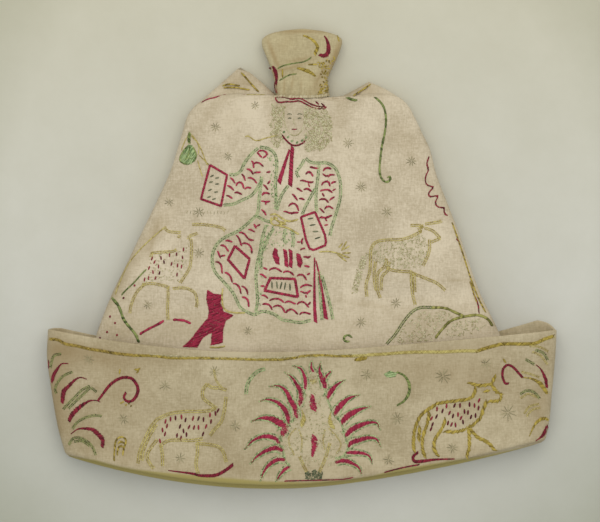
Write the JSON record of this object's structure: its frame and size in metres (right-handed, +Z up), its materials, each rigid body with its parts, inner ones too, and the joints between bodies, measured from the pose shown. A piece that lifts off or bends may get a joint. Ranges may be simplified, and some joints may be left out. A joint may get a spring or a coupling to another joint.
{
  "type": "nightcap",
  "caption": "Soft linen nightcap lying flat: a tapering crown with a flared knob at its top and a wide turned-up cuff round the open mouth, worked with coloured silk motifs.",
  "frame": {"origin": "under the middle of the flat outline, on the surface that the cap lies on", "axes": "+X to the right seen from the front, +Y from the mouth to the knob, +Z up, out of the front"},
  "size_m": [0.3052, 0.2772, 0.0324],
  "materials": {
    "linen": "aged undyed linen, plain weave, matt, faintly mottled",
    "cuff_linen": "aged undyed linen, plain weave, darker and more stained than the crown",
    "knob_linen": "aged undyed linen, gathered at the seam",
    "crimson_silk": "lustrous floss silk stitches, deep crimson",
    "green_silk": "floss silk stitches, faded sage green",
    "gold_silk": "floss silk stitches and plait, old gold, slightly lustrous",
    "pale_silk": "fine silk stitches, faded straw grey"
  },
  "bodies": {
    "root": {"crown": "linen", "cuff": "cuff_linen", "knob": "knob_linen"}
  },
  "joints": []
}
